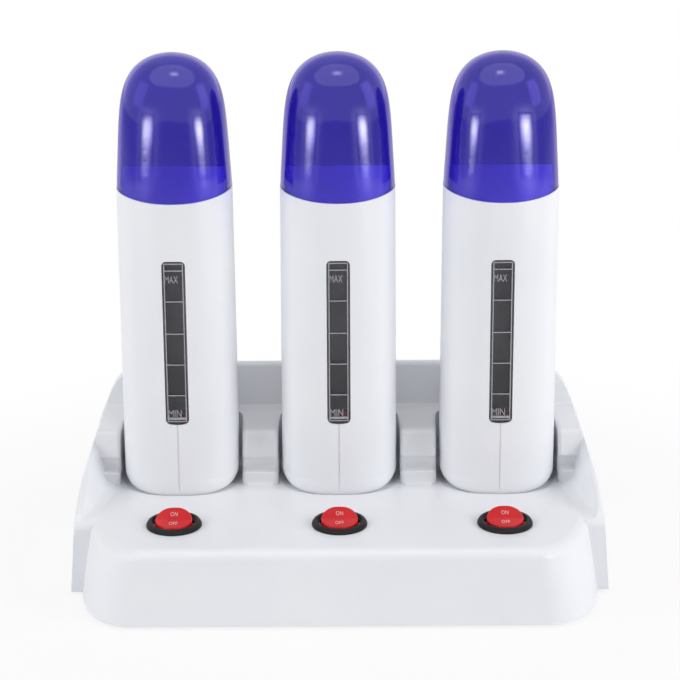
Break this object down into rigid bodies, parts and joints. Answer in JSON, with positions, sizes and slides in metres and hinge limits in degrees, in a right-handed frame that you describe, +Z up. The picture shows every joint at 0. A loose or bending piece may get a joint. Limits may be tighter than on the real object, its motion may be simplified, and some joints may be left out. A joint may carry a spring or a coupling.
{
  "type": "roll-on wax heater stand",
  "caption": "Docking stand with rocker switches that holds hand-held roll-on wax heaters, each with a level window, a cartridge well and a lift-off translucent cap.",
  "frame": {"origin": "middle of the footprint, on the surface that the stand rests on", "axes": "+Z up, -Y towards the front with the switches, +X to the right as seen from the front"},
  "size_m": [0.262, 0.147, 0.2553],
  "materials": {
    "white_plastic": "glossy moulded ABS",
    "base_plate_plastic": "satin moulded ABS",
    "foot_rubber": "soft moulded rubber",
    "screw_steel": "zinc-plated",
    "bezel_plastic": "semi-gloss moulded nylon",
    "rocker_plastic": "glossy moulded polycarbonate",
    "black_plastic": "matt moulded",
    "contact_brass": "bright",
    "wire_insulation": "soft PVC",
    "block_plastic": "natural nylon",
    "window_plastic": "clear smoke-grey moulded",
    "neck_plastic": "heat-resistant, semi-gloss",
    "chamber_metal": "pressed and anodised",
    "plate_metal": "extruded",
    "thermostat_metal": "pressed can",
    "lamp_plastic": "tinted clear",
    "cap_plastic": "translucent blue-violet, polished"
  },
  "bodies": {
    "base": {"base_top_shell": "white_plastic", "base_bottom_plate": "base_plate_plastic", "base_feet": "foot_rubber", "base_screws": "screw_steel", "base_inlet_housing": "black_plastic", "base_inlet_pins": "contact_brass", "base_terminal_block": "block_plastic", "base_wires": "wire_insulation", "dock_block_1": "black_plastic", "switch_body_1": "bezel_plastic", "dock_block_2": "black_plastic", "switch_body_2": "bezel_plastic", "dock_block_3": "black_plastic", "switch_body_3": "bezel_plastic", "dock_pins": "contact_brass", "switch_terminals": "contact_brass"},
    "rocker_1": {"switch_rocker_1": "rocker_plastic"},
    "rocker_2": {"switch_rocker_2": "rocker_plastic"},
    "rocker_3": {"switch_rocker_3": "rocker_plastic"},
    "heater_1": {"heater_1_casing_left": "white_plastic", "heater_1_casing_right": "white_plastic", "heater_1_window": "window_plastic", "heater_1_neck": "neck_plastic", "heater_1_chamber": "chamber_metal", "heater_1_heating_plate": "plate_metal", "heater_1_thermostat": "thermostat_metal", "heater_1_lamp": "lamp_plastic", "heater_1_socket": "black_plastic", "heater_1_socket_sleeves": "contact_brass", "heater_1_screw": "screw_steel", "heater_1_wires": "wire_insulation"},
    "cap_1": {"heater_1_cap": "cap_plastic"},
    "heater_2": {"heater_2_casing_left": "white_plastic", "heater_2_casing_right": "white_plastic", "heater_2_window": "window_plastic", "heater_2_neck": "neck_plastic", "heater_2_chamber": "chamber_metal", "heater_2_heating_plate": "plate_metal", "heater_2_thermostat": "thermostat_metal", "heater_2_lamp": "lamp_plastic", "heater_2_socket": "black_plastic", "heater_2_socket_sleeves": "contact_brass", "heater_2_screw": "screw_steel", "heater_2_wires": "wire_insulation"},
    "cap_2": {"heater_2_cap": "cap_plastic"},
    "heater_3": {"heater_3_casing_left": "white_plastic", "heater_3_casing_right": "white_plastic", "heater_3_window": "window_plastic", "heater_3_neck": "neck_plastic", "heater_3_chamber": "chamber_metal", "heater_3_heating_plate": "plate_metal", "heater_3_thermostat": "thermostat_metal", "heater_3_lamp": "lamp_plastic", "heater_3_socket": "black_plastic", "heater_3_socket_sleeves": "contact_brass", "heater_3_screw": "screw_steel", "heater_3_wires": "wire_insulation"},
    "cap_3": {"heater_3_cap": "cap_plastic"}
  },
  "joints": [
    {"name": "rocker_1_tilt", "type": "hinge", "parent": "base", "child": "rocker_1", "pos_m": [-0.0795, -0.0387, 0.0371], "axis": [-1, 0, 0], "range_deg": [0, 26.8]},
    {"name": "rocker_2_tilt", "type": "hinge", "parent": "base", "child": "rocker_2", "pos_m": [0, -0.0387, 0.0371], "axis": [-1, 0, 0], "range_deg": [0, 26.8]},
    {"name": "rocker_3_tilt", "type": "hinge", "parent": "base", "child": "rocker_3", "pos_m": [0.0795, -0.0387, 0.0371], "axis": [-1, 0, 0], "range_deg": [0, 26.8]},
    {"name": "heater_1_lift", "type": "slide", "parent": "base", "child": "heater_1", "axis": [0, 0, 1], "range_m": [0, 0.06]},
    {"name": "cap_1_pull", "type": "slide", "parent": "heater_1", "child": "cap_1", "axis": [0, 0, 1], "range_m": [0, 0.03]},
    {"name": "heater_2_lift", "type": "slide", "parent": "base", "child": "heater_2", "axis": [0, 0, 1], "range_m": [0, 0.06]},
    {"name": "cap_2_pull", "type": "slide", "parent": "heater_2", "child": "cap_2", "axis": [0, 0, 1], "range_m": [0, 0.03]},
    {"name": "heater_3_lift", "type": "slide", "parent": "base", "child": "heater_3", "axis": [0, 0, 1], "range_m": [0, 0.06]},
    {"name": "cap_3_pull", "type": "slide", "parent": "heater_3", "child": "cap_3", "axis": [0, 0, 1], "range_m": [0, 0.03]}
  ]
}
